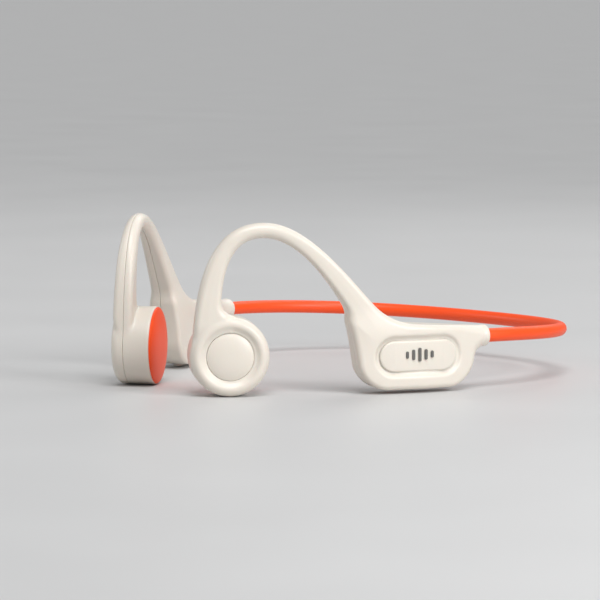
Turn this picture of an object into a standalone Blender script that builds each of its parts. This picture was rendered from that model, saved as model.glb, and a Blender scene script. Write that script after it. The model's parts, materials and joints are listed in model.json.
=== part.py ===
"""Bone conduction headphones: two ear units with hooks and pods, joined by a neckband behind the head.

The wearer faces -Y and +Z is up, so the wearer's left unit is at +X. The origin is at the bottom centre.
Each arm is first laid out flat, as (w, s, z): w outward, s rearward along the arm from the centre of
the sound disc, z up. bend() then wraps that sheet round the side of the head.
"""

import math

import bmesh
import bpy
from mathutils import Matrix, Vector

mm = 0.001
degree = math.pi / 180

# Overall sizes and the plan of the arms.
overall_length = 148.5 * mm
overall_height = 52.0 * mm
disc_spacing = 45.2 * mm
front_heading = 36.0 * degree
rear_heading = 10.2 * degree
straight_run = 22.0 * mm
arm_reach = 81.8 * mm

# Clearances.
gap = 0.3 * mm
glue_line = 0.15 * mm
wall = 1.2 * mm
merge_distance = 0.002 * mm

# How finely round shapes are faceted.
round_segments = 28
small_segments = 20
strand_corners = 6
flat_angle = 2.5 * degree

# Sound disc. Its depths are measured outward from the parting plane of the shells.
disc_radius = 12.0 * mm
disc_front = 4.0 * mm
disc_back = 8.1 * mm
disc_fillet = 2.3 * mm
dish_depth = 0.7 * mm
button_radius = 6.9 * mm
button_dome = 0.9 * mm
button_travel = 0.45 * mm
button_flange = 0.7 * mm
pad_radius = 11.7 * mm
pad_thickness = 1.3 * mm
pad_fillet = 1.0 * mm

# Exciter in the disc.
carrier_thickness = 1.1 * mm
bracket_wall = 0.7 * mm
bracket_height = 3.2 * mm
coil_radius = 7.0 * mm
coil_wall = 0.8 * mm
coil_height = 1.5 * mm
air_gap = 0.5 * mm
yoke_wall = 1.0 * mm
yoke_base = 0.8 * mm
yoke_height = 2.3 * mm
magnet_height = 0.9 * mm
pole_height = 0.45 * mm
flexure_thickness = 0.2 * mm
exciter_travel = 0.2 * mm

# Ear hook: widths lie in the plane of the arm, thicknesses across it.
hook_top_station = 10.3 * mm
hook_top_width = 4.6 * mm
hook_top_thickness = 4.9 * mm
hook_foot_width = 8.6 * mm
hook_foot_thickness = 5.6 * mm
hook_pod_width = 10.5 * mm
hook_pod_thickness = 8.4 * mm
hook_foot_rise = 4.2 * mm
hook_foot_tuck = 0.84 * mm
hook_leg_pull = 0.66
hook_shoulder_pull = 11.85 * mm
hook_crest_pull = 0.38
hook_descent_run = 0.27
hook_descent_drop = 0.41
hook_root_reach = 7.56 * mm
hook_root_sink = 5.6 * mm
hook_steps = 9
wire_diameter = 0.8 * mm
cable_diameter = 0.8 * mm
wire_offset = 0.55 * mm
hook_wire_share = 0.97

# Pod behind the ear, and the neck that holds the band.
pod_front = 38.6 * mm
pod_rear = 76.8 * mm
pod_bottom = 1.1 * mm
pod_height = 21.0 * mm
pod_corner = 8.3 * mm
pod_top_rear_corner = 5.8 * mm
pod_top_front_corner = 7.0 * mm
pod_lean = 8.0 * degree
pod_top_slope = 4.17 * degree
pod_outer_depth = 4.8 * mm
pod_inner_depth = 6.2 * mm
pod_outer_edge = 2.6 * mm
pod_inner_edge = 3.6 * mm
pod_taper = 0.72
pod_taper_run = 19.6 * mm
neck_radius = 3.0 * mm
neck_run = 10.2 * mm
neck_flare = 5.0 * mm
neck_depth_flare = 1.5 * mm

# Badge plate on the pod.
recess_length = 28.0 * mm
recess_height = 12.4 * mm
recess_depth = 1.1 * mm
groove_width = 1.5 * mm
badge_sink = 0.2 * mm
recess_floor = 1.0 * mm
badge_shift = 0.6 * mm
badge_drop = 0.3 * mm

# Battery and electronics.
battery_length = 24.0 * mm
battery_room = 3.3 * mm
battery_thickness = 5.4 * mm
battery_board_size = (4.0 * mm, 8.0 * mm)
board_thickness = 0.6 * mm
main_board_length = 22.0 * mm
main_board_room = 4.3 * mm
main_board_shift = 2.0 * mm
main_board_lift = 0.5 * mm
radio_thickness = 1.2 * mm
radio_length = 8.5 * mm
radio_margin = 0.75 * mm
antenna_size = (1.0 * mm, 8.0 * mm, 2.0 * mm)
volume_button_length = 7.5 * mm
volume_button_width = 2.8 * mm
volume_button_pitch = 11.0 * mm
volume_button_proud = 0.9 * mm
volume_button_travel = 0.4 * mm
volume_flange = 0.6 * mm
volume_lip = 0.7 * mm
switch_height = 1.0 * mm
switch_size = (2.6 * mm, 3.4 * mm)
button_switch_radius = 1.6 * mm
button_board_radius = 6.5 * mm
press_room = 0.15 * mm
charge_pin_radius = 0.9 * mm
charge_pin_pitch = 5.0 * mm
charge_pin_length = 2.2 * mm
charge_pin_drop = 7.9 * mm
charge_board_margin = 2.0 * mm
charge_board_depth = 3.0 * mm
light_pipe_radius = 0.8 * mm
light_pipe_length = 2.6 * mm
light_pipe_reach = 7.5 * mm
microphone_radius = 1.9 * mm
microphone_port = 0.5 * mm
microphone_thickness = 1.2 * mm
microphone_reach = 14.0 * mm
microphone_rise = 8.0 * mm

# Neckband.
band_radius = 2.1 * mm
band_bore = 1.55 * mm
band_back_height = 13.0 * mm
band_exit_pull = 18.0 * mm
band_back_pull = 60.0 * mm
ferrule_wall = 0.35 * mm
ferrule_length = 10.0 * mm
band_steps = 18

cream = ((0.78, 0.71, 0.62), 0.42, 0.0)
orange = ((0.94, 0.085, 0.012), 0.5, 0.0)
graphite = ((0.05, 0.05, 0.055), 0.45, 0.0)
steel = ((0.55, 0.56, 0.58), 0.3, 1.0)
magnet_nickel = ((0.7, 0.69, 0.66), 0.22, 1.0)
copper = ((0.72, 0.33, 0.16), 0.35, 1.0)
gold = ((0.9, 0.66, 0.28), 0.25, 1.0)
board_green = ((0.015, 0.12, 0.05), 0.4, 0.0)
foil = ((0.5, 0.52, 0.56), 0.35, 0.6)
clear_plastic = ((0.85, 0.87, 0.88), 0.12, 0.0)
titanium = ((0.42, 0.41, 0.4), 0.35, 1.0)

# Values that follow from the sizes above.
pod_top = pod_bottom + pod_height
arm_bend_radius = (arm_reach - straight_run) / (front_heading - rear_heading)
disc_core = disc_radius - disc_fillet
disc_reach_forward = (
    disc_core * math.cos(front_heading) + (disc_front - disc_fillet) * math.sin(front_heading) + disc_fillet
)
disc_y = disc_reach_forward - overall_length / 2
band_back_y = overall_length / 2 - band_radius
neck_top = pod_top - (arm_reach - pod_front) * math.tan(pod_top_slope)
neck_height = neck_top - neck_radius
neck_station = arm_reach - neck_run
battery_height = pod_height - 2 * (wall + battery_room)
main_board_height = pod_height - 2 * (wall + main_board_room)
radio_height = main_board_height - 2 * radio_margin
pod_cavity_depth = pod_outer_depth - recess_depth - recess_floor
pad_face = -(disc_back + gap + pad_thickness)


def plan(station):
    """Where the parting sheet runs in plan on the left side, and its heading from +Y."""
    flat = min(station, straight_run)
    x = disc_spacing / 2 + flat * math.sin(front_heading)
    y = disc_y + flat * math.cos(front_heading)
    heading = front_heading
    if station > straight_run:
        heading = front_heading - (station - straight_run) / arm_bend_radius
        x += arm_bend_radius * (math.cos(heading) - math.cos(front_heading))
        y += arm_bend_radius * (math.sin(front_heading) - math.sin(heading))
    return x, y, heading


def bend(point):
    """The left-side place of a point (w, s, z) of the flat layout."""
    w, s, z = point
    x, y, heading = plan(s)
    return Vector((x + w * math.cos(heading), y - w * math.sin(heading), z))


def frame_at(w, s, z):
    """A rigid frame at a flat point: X outward, Y rearward along the arm, Z up."""
    heading = plan(s)[2]
    return Matrix.Translation(bend((w, s, z))) @ Matrix.Rotation(-heading, 4, "Z")


def finish(obj, look):
    """Gives the object a material of its own and shades its curved faces smooth."""
    colour, roughness, metallic = look
    material = bpy.data.materials.new(obj.name + "_finish")
    material.use_nodes = True
    shader = material.node_tree.nodes["Principled BSDF"]
    shader.inputs["Base Color"].default_value = (*colour, 1)
    shader.inputs["Roughness"].default_value = roughness
    shader.inputs["Metallic"].default_value = metallic
    material.diffuse_color = (*colour, 1)
    obj.data.materials.clear()
    obj.data.materials.append(material)
    obj.data.shade_smooth()
    obj.data.set_sharp_from_angle(angle=35 * degree)
    return obj


def solid(name, points, faces, look=cream, mirror=False):
    """A closed object from world points; mirror=True puts it on the right side."""
    if mirror:
        points = [Vector((-p[0], p[1], p[2])) for p in points]
    mesh = bpy.data.meshes.new(name)
    mesh.from_pydata([tuple(p) for p in points], [], faces)
    shape = bmesh.new()
    shape.from_mesh(mesh)
    bmesh.ops.recalc_face_normals(shape, faces=shape.faces)
    shape.to_mesh(mesh)
    shape.free()
    obj = bpy.data.objects.new(name, mesh)
    bpy.context.scene.collection.objects.link(obj)
    return finish(obj, look)


def ring_faces(rings, around, capped=True):
    """Quads between successive rings of points, with a flat cap on each end."""
    faces = []
    for ring in range(rings - 1):
        for i in range(around):
            a = ring * around + i
            b = ring * around + (i + 1) % around
            faces.append((a, b, b + around, a + around))
    if capped:
        faces.append(tuple(reversed(range(around))))
        faces.append(tuple(range((rings - 1) * around, rings * around)))
    return faces


def closed_ring_faces(rings, around):
    """Quads between rings that close on themselves, for a tube bent back or a turned ring."""
    faces = []
    for ring in range(rings):
        after = (ring + 1) % rings
        for i in range(around):
            j = (i + 1) % around
            faces.append((ring * around + i, ring * around + j, after * around + j, after * around + i))
    return faces


def turned(name, profile, look=cream, mirror=False, station=0.0, height=None, segments=round_segments):
    """A ring or disc turned about the disc's axis, from a closed profile of (radius, w) points.

    A profile that starts and ends at radius 0 makes a solid disc; any other makes a ring.
    """
    height = disc_radius if height is None else height
    axis_frame = frame_at(0, station, height)
    if profile[0][0] == 0:
        rim = profile[1:-1]
        points = [axis_frame @ Vector((profile[0][1], 0, 0)), axis_frame @ Vector((profile[-1][1], 0, 0))]
    else:
        rim = profile
        points = []
    first = len(points)
    for i in range(segments):
        turn = 2 * math.pi * i / segments
        for radius, w in rim:
            points.append(axis_frame @ Vector((w, radius * math.cos(turn), radius * math.sin(turn))))
    faces = []
    count = len(rim)
    for i in range(segments):
        a = first + i * count
        b = first + ((i + 1) % segments) * count
        for k in range(count - 1):
            faces.append((a + k, a + k + 1, b + k + 1, b + k))
        if first:
            faces.append((0, a, b))
            faces.append((1, b + count - 1, a + count - 1))
        else:
            faces.append((a + count - 1, a, b, b + count - 1))
    return solid(name, points, faces, look, mirror)


def ring_profile(inner, outer, low, high):
    return [(inner, low), (inner, high), (outer, high), (outer, low)]


def disc_profile(radius, low, high):
    return [(0, low), (radius, low), (radius, high), (0, high)]


def box(name, frame, size, look=cream, mirror=False):
    """A block of the given size (outward, along, up), centred on the frame."""
    points = []
    for x in (-0.5, 0.5):
        for y in (-0.5, 0.5):
            for z in (-0.5, 0.5):
                points.append(frame @ Vector((x * size[0], y * size[1], z * size[2])))
    faces = [(0, 1, 3, 2), (4, 6, 7, 5), (0, 4, 5, 1), (2, 3, 7, 6), (0, 2, 6, 4), (1, 5, 7, 3)]
    return solid(name, points, faces, look, mirror)


def post(name, frame, radius, low, high, look=cream, mirror=False, segments=12):
    """A round pin along the frame's X axis."""
    points = []
    for x in (low, high):
        for i in range(segments):
            turn = 2 * math.pi * i / segments
            points.append(frame @ Vector((x, radius * math.cos(turn), radius * math.sin(turn))))
    return solid(name, points, ring_faces(2, segments), look, mirror)


def triangulate(mesh):
    """Splits every face into triangles, and merges points that a Boolean left almost together."""
    shape = bmesh.new()
    shape.from_mesh(mesh)
    bmesh.ops.triangulate(shape, faces=shape.faces)
    bmesh.ops.remove_doubles(shape, verts=shape.verts, dist=merge_distance)
    bmesh.ops.dissolve_degenerate(shape, edges=shape.edges, dist=merge_distance)
    bmesh.ops.triangulate(shape, faces=shape.faces)
    shape.to_mesh(mesh)
    shape.free()


def boolean(target, other, operation):
    """Joins, cuts or intersects target with other, which is then removed."""
    triangulate(target.data)
    triangulate(other.data)
    modifier = target.modifiers.new(operation.lower(), "BOOLEAN")
    modifier.operation = operation
    modifier.object = other
    bpy.context.view_layer.update()
    graph = bpy.context.evaluated_depsgraph_get()
    result = bpy.data.meshes.new_from_object(target.evaluated_get(graph))
    target.modifiers.clear()
    old = target.data
    target.data = result
    triangulate(target.data)
    bpy.data.meshes.remove(old)
    bpy.data.objects.remove(other)
    return target


def simplify(obj):
    """Joins triangles that lie in one plane, to within flat_angle, and splits the results again."""
    shape = bmesh.new()
    shape.from_mesh(obj.data)
    bmesh.ops.dissolve_limit(shape, angle_limit=flat_angle, verts=shape.verts, edges=shape.edges)
    bmesh.ops.triangulate(shape, faces=shape.faces)
    shape.to_mesh(obj.data)
    shape.free()


def duplicate(obj, name, mirror=False):
    """A copy of the object, or its mirror image on the other side."""
    points = [v.co.copy() for v in obj.data.vertices]
    faces = [tuple(p.vertices) for p in obj.data.polygons]
    return solid(name, points, faces, mirror=mirror)


# The ear hook's centre line: up from the disc's front edge, over the top, and down into the pod.


def bezier(a, b, c, d, t):
    return a * (1 - t) ** 3 + 3 * b * t * (1 - t) ** 2 + 3 * c * t * t * (1 - t) + d * t**3


def hook_curves():
    """The two cubic curves of the hook as flat (s, z) control points, front leg first."""
    top = Vector((hook_top_station, overall_height - hook_top_width / 2))
    foot = Vector((hook_foot_tuck + hook_foot_width / 2 - disc_radius, disc_radius + hook_foot_rise))
    root = Vector((pod_front + hook_root_reach, pod_top - hook_root_sink))
    rise = top.y - foot.y
    drop = top.y - root.y
    run = root.x - top.x
    leg = foot + Vector((0, hook_leg_pull * rise))
    shoulder = top - Vector((hook_shoulder_pull, 0))
    crest = top + Vector((hook_crest_pull * run, 0))
    descent = root + Vector((-hook_descent_run * run, hook_descent_drop * drop))
    return (foot, leg, shoulder, top), (top, crest, descent, root)


def hook_point(u):
    """Centre and tangent of the hook at u, from -1 at the foot, 0 at the top, to 1 in the pod."""
    front, rear = hook_curves()
    a, b, c, d = front if u < 0 else rear
    t = u + 1 if u < 0 else u
    slope = (b - a) * (1 - t) ** 2 + 2 * (c - b) * t * (1 - t) + (d - c) * t * t
    return bezier(a, b, c, d, t), slope.normalized()


def hook_half_sizes(u):
    """Half the hook's width and thickness at u: smallest at the top, growing to both ends."""
    if u < 0:
        width = hook_top_width + (hook_foot_width - hook_top_width) * u**2
        thickness = hook_top_thickness + (hook_foot_thickness - hook_top_thickness) * u**2
    else:
        width = hook_top_width + (hook_pod_width - hook_top_width) * u**3
        thickness = hook_top_thickness + (hook_pod_thickness - hook_top_thickness) * u**2
    return width / 2, thickness / 2


def hook_solid(name, inset, around):
    """The hook's tube as one bent loft of ellipses, made smaller all round by inset."""
    points = []
    for step in range(-hook_steps, hook_steps + 1):
        u = step / hook_steps
        centre, tangent = hook_point(u)
        half_width, half_thickness = hook_half_sizes(u)
        across = Vector((-tangent.y, tangent.x))
        for i in range(around):
            turn = 2 * math.pi * i / around
            side = across * (half_width - inset) * math.cos(turn)
            w = (half_thickness - inset) * math.sin(turn)
            points.append(bend((w, centre.x + side.x, centre.y + side.y)))
    return solid(name, points, ring_faces(2 * hook_steps + 1, around))


# The pod's outline: a leaning box with round corners, in the flat (s, z) plane.


def pod_corners():
    """Corner points and radii of the pod's outline, anticlockwise from the front bottom."""
    lean = pod_height * math.tan(pod_lean)
    fall = (pod_rear - pod_front) * math.tan(pod_top_slope)
    return [
        (Vector((pod_front + lean / 2, pod_bottom)), pod_corner),
        (Vector((pod_rear - lean / 3, pod_bottom)), pod_corner),
        (Vector((pod_rear + lean / 6, pod_top - fall)), pod_top_rear_corner),
        (Vector((pod_front - lean / 2, pod_top)), pod_top_front_corner),
    ]


def rounded_outline(corners, inset, steps=4):
    """Points round a convex outline whose corners are arcs, moved inward by inset."""
    outline = []
    count = len(corners)
    for i in range(count):
        corner, radius = corners[i]
        before = (corners[i - 1][0] - corner).normalized()
        after = (corners[(i + 1) % count][0] - corner).normalized()
        half = math.acos(max(-1, min(1, before.dot(after)))) / 2
        centre = corner + (before + after).normalized() * radius / math.sin(half)
        start = math.atan2(*(corner + before * radius / math.tan(half) - centre).yx)
        sweep = math.pi - 2 * half
        for k in range(steps + 1):
            angle = start + sweep * k / steps
            arm = Vector((math.cos(angle), math.sin(angle)))
            outline.append(centre + arm * max(radius - inset, 0.2 * mm))
    return outline


def pod_scale(station):
    """How the pod's thickness eases toward the neck."""
    blend = (station - (pod_rear - pod_taper_run)) / pod_taper_run
    blend = max(0, min(1, blend))
    return 1 - (1 - pod_taper) * blend * blend * (3 - 2 * blend)


def slab(name, corners, rings, spacing=7 * mm):
    """A closed slab in the bent sheet: rings are (inset, w) pairs from the inner face to the outer one."""
    shape = bmesh.new()
    loops = []
    for inset, w in rings:
        outline = rounded_outline(corners, inset)
        loops.append([shape.verts.new((w, p.x, p.y)) for p in outline])
    around = len(loops[0])
    for low, high in zip(loops, loops[1:]):
        for i in range(around):
            j = (i + 1) % around
            shape.faces.new((low[i], low[j], high[j], high[i]))
    shape.faces.new(list(reversed(loops[0])))
    shape.faces.new(loops[-1])
    first = min(v.co.y for v in shape.verts)
    last = max(v.co.y for v in shape.verts)
    cuts = int((last - first) / spacing)
    for cut in range(1, cuts):
        where = first + (last - first) * cut / cuts
        parts = shape.verts[:] + shape.edges[:] + shape.faces[:]
        bmesh.ops.bisect_plane(shape, geom=parts, dist=1e-7, plane_co=(0, where, 0), plane_no=(0, 1, 0))
    bmesh.ops.triangulate(shape, faces=shape.faces)
    points = [bend((v.co.x * pod_scale(v.co.y), v.co.y, v.co.z)) for v in shape.verts]
    shape.verts.index_update()
    faces = [tuple(v.index for v in f.verts) for f in shape.faces]
    shape.free()
    return solid(name, points, faces)


def edge_rings(depth_in, depth_out, edge_in, edge_out, inset, steps=2):
    """Rings of a slab whose two faces meet its rim in quarter rounds."""
    rings = []
    for k in range(steps + 1):
        turn = math.pi / 2 * (1 - k / steps)
        rings.append((inset + edge_in * (1 - math.cos(turn)), -depth_in + edge_in * (1 - math.sin(turn))))
    for k in range(steps + 1):
        turn = math.pi / 2 * k / steps
        rings.append((inset + edge_out * (1 - math.cos(turn)), depth_out - edge_out * (1 - math.sin(turn))))
    return rings


def pod_solid(name, inset, depth_in, depth_out):
    edge_in = pod_inner_edge - inset
    edge_out = pod_outer_edge - inset
    rings = edge_rings(depth_in, depth_out, edge_in, edge_out, inset)
    return slab(name, pod_corners(), rings)


def neck_solid(name, inset, end, around=14):
    """The neck: a loft that narrows from the pod's rear to the round mouth for the band."""
    points = []
    steps = 4
    for step in range(steps + 1):
        s = neck_station + (end - neck_station) * step / steps
        back = max(0, (arm_reach - s) / neck_run)
        half_height = neck_radius + neck_flare * back * back - inset
        half_depth = neck_radius + neck_depth_flare * back**1.5 - inset
        centre = neck_height - neck_flare * back * back
        for i in range(around):
            turn = 2 * math.pi * i / around
            points.append(bend((half_depth * math.sin(turn), s, centre + half_height * math.cos(turn))))
    return solid(name, points, ring_faces(steps + 1, around))


def disc_body():
    """The sound disc's outside, with its dished front face."""
    rim = [(0, disc_front - dish_depth)]
    rim.append((button_radius + gap, disc_front - dish_depth))
    for k in range(4):
        turn = math.pi / 2 * k / 3
        radius = disc_core + disc_fillet * math.sin(turn)
        rim.append((radius, disc_front - disc_fillet * (1 - math.cos(turn))))
    rim.append((disc_radius, -disc_back))
    rim.append((0, -disc_back))
    return turned("disc_body", rim)


def disc_hollow():
    """The space inside the disc, open to the pad and to the button."""
    inner = disc_radius - wall
    roof = disc_front - dish_depth - wall
    mouth = button_radius + gap
    past = disc_front + wall
    rim = [(0, past), (mouth, past), (mouth, roof), (inner - wall, roof), (inner, roof - wall)]
    rim += [(inner, -disc_back - wall), (0, -disc_back - wall)]
    return turned("disc_hollow", rim)


def half_sheet(name, outside):
    """A bent block covering one side of the parting plane, half a clearance away from it."""
    near = gap / 2 if outside else -gap / 2
    far = (disc_radius if outside else -disc_radius) * 1.5
    points = []
    first = -2 * disc_radius
    steps = 12
    for step in range(steps + 1):
        s = first + (arm_reach + disc_radius - first) * step / steps
        for w, z in ((near, -wall), (far, -wall), (far, overall_height * 1.2), (near, overall_height * 1.2)):
            points.append(bend((w, s, z)))
    return solid(name, points, ring_faces(steps + 1, 4))


def arm_solid():
    """The whole arm's outside as one solid: disc, hook, pod and neck."""
    arm = pod_solid("arm", 0, pod_inner_depth, pod_outer_depth)
    boolean(arm, neck_solid("neck", 0, arm_reach), "UNION")
    boolean(arm, hook_solid("hook", 0, 12), "UNION")
    boolean(arm, disc_body(), "UNION")
    return arm


def arm_hollow():
    """The space inside the arm: pod cavity, wire bores and the disc's chamber."""
    hollow = pod_solid("hollow", wall, pod_inner_depth - wall, pod_cavity_depth)
    boolean(hollow, hook_solid("hook_bore", wall, 8), "UNION")
    boolean(hollow, disc_hollow(), "UNION")
    bore = band_bore + ferrule_wall / 3
    steps = 4
    points = []
    around = 12
    for step in range(steps + 1):
        s = neck_station - wall + (neck_run + 2 * wall) * step / steps
        for i in range(around):
            turn = 2 * math.pi * i / around
            points.append(bend((bore * math.sin(turn), s, neck_height + bore * math.cos(turn))))
    boolean(hollow, solid("neck_bore", points, ring_faces(steps + 1, around)), "UNION")
    return hollow


badge_station = (pod_front + pod_rear) / 2 - badge_shift
badge_height = pod_bottom + pod_height / 2 - badge_drop


def pill_corners(station, height, length, width):
    """A pill outline's corners and radii in the flat (s, z) plane."""
    radius = width / 2 * 0.999
    corners = []
    for x, z in ((-1, -1), (1, -1), (1, 1), (-1, 1)):
        corners.append((Vector((station + x * length / 2, height + z * width / 2)), radius))
    return corners


def badge_pocket():
    corners = pill_corners(badge_station, badge_height, recess_length, recess_height)
    floor = pod_outer_depth - recess_depth
    return slab("badge_pocket", corners, [(groove_width / 2, floor), (0, pod_outer_depth + wall)])


def badge_plate(name, mirror):
    length = recess_length - 2 * groove_width
    height = recess_height - 2 * groove_width
    corners = pill_corners(badge_station, badge_height, length, height)
    floor = pod_outer_depth - recess_depth + gap
    top = pod_outer_depth - badge_sink
    rings = [(0, floor), (0, top - badge_sink), (badge_sink, top)]
    plate = slab("badge", corners, rings)
    return finish(take_shape(plate, name, mirror), cream)


def take_shape(source, name, mirror):
    """Moves a left-side shape to its final object, on either side."""
    result = duplicate(source, name, mirror)
    bpy.data.objects.remove(source)
    return result


def pill_prism(name, station, size, heights):
    """An upright pill-shaped block under the pod; size is its length along the arm and its width."""
    frame = frame_at(volume_w, station, 0)
    length, width = size
    points = []
    steps = 6
    for z in heights:
        for end in (1, -1):
            for k in range(steps + 1):
                turn = math.pi * (k / steps - 0.5)
                y = end * ((length - width) / 2 + width / 2 * math.cos(turn))
                x = end * width / 2 * math.sin(turn)
                points.append(frame @ Vector((-x, y, z)))
    return solid(name, points, ring_faces(2, 2 * (steps + 1)))


# Stations of the small parts in the pods.
volume_w = (pod_cavity_depth - pod_outer_edge + wall - pod_inner_depth + pod_inner_edge) / 2
volume_stations = {
    "volume_up": badge_station - volume_button_pitch / 2,
    "volume_down": badge_station + volume_button_pitch / 2,
}
charge_stations = {
    "charge_pin_front": badge_station - charge_pin_pitch / 2,
    "charge_pin_rear": badge_station + charge_pin_pitch / 2,
}
charge_height = pod_top - charge_pin_drop
light_station = badge_station + light_pipe_reach
microphone_station = pod_front + microphone_reach
microphone_height = pod_bottom + microphone_rise
floor_inside = pod_bottom + wall


def shells():
    """Outer and inner half shells of both arms, with the openings that each side needs."""
    whole = arm_solid()
    boolean(whole, arm_hollow(), "DIFFERENCE")
    boolean(whole, badge_pocket(), "DIFFERENCE")
    for side in ("left", "right"):
        mirror = side == "right"
        for half in ("outer", "inner"):
            shell = duplicate(whole, f"{side}_{half}_shell")
            boolean(shell, half_sheet("half", half == "outer"), "INTERSECT")
            if mirror:
                cut_right_openings(shell, half)
            simplify(shell)
            if mirror:
                shell.name = "to_mirror"
                shell = take_shape(shell, f"{side}_{half}_shell", True)
            finish(shell, cream)
    bpy.data.objects.remove(whole)


def cut_right_openings(shell, half):
    """Slots for the volume buttons, and the inner half's holes for pins, light and microphone."""
    for station in volume_stations.values():
        length = volume_button_length + 2 * gap
        width = volume_button_width + 2 * gap
        slot = pill_prism("slot", station, (length, width), (-wall, floor_inside + wall / 2))
        boolean(shell, slot, "DIFFERENCE")
    if half == "outer":
        return
    holes = [(s, charge_height, charge_pin_radius + gap / 2) for s in charge_stations.values()]
    holes.append((light_station, charge_height, light_pipe_radius + gap / 2))
    holes.append((microphone_station, microphone_height, microphone_port))
    for station, height, radius in holes:
        hole = post("hole", frame_at(0, station, height), radius, -2 * pod_inner_depth, -pod_inner_depth / 2)
        boolean(shell, hole, "DIFFERENCE")


def exciter(side, mirror):
    """The vibrating unit: a carrier and coil fixed to the disc, and a sprung magnet that moves."""
    carrier_low = -disc_back
    carrier_top = carrier_low + carrier_thickness
    bore = disc_radius - wall
    turned(f"{side}_pad_carrier", disc_profile(bore - gap, carrier_low, carrier_top), graphite, mirror)
    low = carrier_top + glue_line
    rim = bore - gap - glue_line
    cage = ring_profile(rim - bracket_wall, rim, low, low + bracket_height)
    turned(f"{side}_exciter_bracket", cage, steel, mirror)
    coil = ring_profile(coil_radius - coil_wall, coil_radius, low, low + coil_height)
    turned(f"{side}_voice_coil", coil, copper, mirror, segments=small_segments)
    flexure(side, rim, low + bracket_height + glue_line, mirror)
    yoke_top = low + bracket_height + glue_line - 2 * exciter_travel - glue_line
    yoke_inner = coil_radius + air_gap
    yoke_outer = yoke_inner + yoke_wall
    yoke = [
        (0, yoke_top - yoke_base),
        (yoke_inner, yoke_top - yoke_base),
        (yoke_inner, yoke_top - yoke_height),
        (yoke_outer, yoke_top - yoke_height),
        (yoke_outer, yoke_top),
        (0, yoke_top),
    ]
    turned(f"{side}_exciter_yoke", yoke, steel, mirror, segments=small_segments)
    magnet_radius = coil_radius - coil_wall - air_gap
    magnet_top = yoke_top - yoke_base - glue_line
    pole_top = magnet_top - magnet_height - glue_line
    magnet = disc_profile(magnet_radius, magnet_top - magnet_height, magnet_top)
    turned(f"{side}_exciter_magnet", magnet, magnet_nickel, mirror, segments=small_segments)
    pole = disc_profile(magnet_radius, pole_top - pole_height, pole_top)
    turned(f"{side}_exciter_pole_plate", pole, steel, mirror, segments=small_segments)


def flexure(side, rim, low, mirror):
    """A thin round spring: a hub and a rim joined by three curved arms, cut by three slots."""
    plate = turned("plate", disc_profile(rim, low, low + flexure_thickness), segments=small_segments)
    frame = frame_at(0, 0, disc_radius)
    slot_width = rim * 0.16
    for arm in range(3):
        points = []
        steps = 4
        for w in (low - wall, low + wall):
            for radius, ways in ((rim * 0.72 + slot_width / 2, 1), (rim * 0.5 - slot_width / 2, -1)):
                for k in range(steps + 1):
                    share = k / steps if ways > 0 else 1 - k / steps
                    turn = 2 * math.pi * arm / 3 + share * 100 * degree
                    lead = radius - rim * 0.12 * share
                    points.append(frame @ Vector((w, lead * math.cos(turn), lead * math.sin(turn))))
        cutter = solid("slot", points, ring_faces(2, 2 * (steps + 1)))
        boolean(plate, cutter, "DIFFERENCE")
    finish(take_shape(plate, f"{side}_flexure", mirror), steel)


def contact_pad(side, mirror):
    """The soft pad that rests on the cheekbone, with a flat face and rounded rim."""
    back = -(disc_back + gap)
    rim = [(0, back), (pad_radius, back)]
    for k in range(4):
        turn = math.pi / 2 * k / 3
        radius = pad_radius - pad_fillet * (1 - math.cos(turn))
        rim.append((radius, pad_face + pad_fillet * (1 - math.sin(turn))))
    rim.append((0, pad_face))
    turned(f"{side}_contact_pad", rim, orange, mirror)


def disc_cap(name, mirror):
    """The domed cap in the disc's front, with a flange behind the shell."""
    roof = disc_front - dish_depth - wall
    flange_top = roof - gap
    flange_low = flange_top - button_flange
    rim = [(0, flange_low), (button_radius + wall, flange_low), (button_radius + wall, flange_top)]
    rim.append((button_radius, flange_top))
    edge = disc_front - dish_depth
    for k in range(4):
        turn = math.pi / 2 * k / 4
        rim.append((button_radius * math.cos(turn), edge + button_dome * math.sin(turn)))
    rim.append((0, edge + button_dome))
    return turned(name, rim, cream, mirror)


def button_parts():
    """The left disc's switch and its board, under the multifunction button."""
    flange_low = disc_front - dish_depth - wall - gap - button_flange
    tip = flange_low - button_travel - press_room
    switch = disc_profile(button_switch_radius, tip - switch_height, tip)
    turned("left_button_switch", switch, graphite, segments=12)
    top = tip - switch_height - glue_line
    board = disc_profile(button_board_radius, top - board_thickness, top)
    turned("left_button_board", board, board_green, segments=small_segments)


def strand(name, centres, radius, look, mirror=False):
    """A round strand through world points, as rings across its path."""
    around = strand_corners
    points = []
    for i, centre in enumerate(centres):
        ahead = centres[min(i + 1, len(centres) - 1)] - centres[max(i - 1, 0)]
        ahead.normalize()
        side = ahead.cross(Vector((0, 0, 1)))
        side.normalize()
        upward = side.cross(ahead)
        for k in range(around):
            turn = 2 * math.pi * k / around
            points.append(centre + radius * (math.cos(turn) * side + math.sin(turn) * upward))
    return solid(name, points, ring_faces(len(centres), around), look, mirror)


def hook_strand(name, radius, w, look, mirror):
    """A wire along the hook's bore, beside its centre line."""
    points = []
    around = strand_corners
    for step in range(-hook_steps, hook_steps + 1):
        u = step / hook_steps * hook_wire_share
        centre, tangent = hook_point(u)
        across = Vector((-tangent.y, tangent.x))
        for i in range(around):
            turn = 2 * math.pi * i / around
            side = across * radius * math.cos(turn)
            points.append(bend((w + radius * math.sin(turn), centre.x + side.x, centre.y + side.y)))
    return solid(name, points, ring_faces(2 * hook_steps + 1, around), look, mirror)


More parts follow.
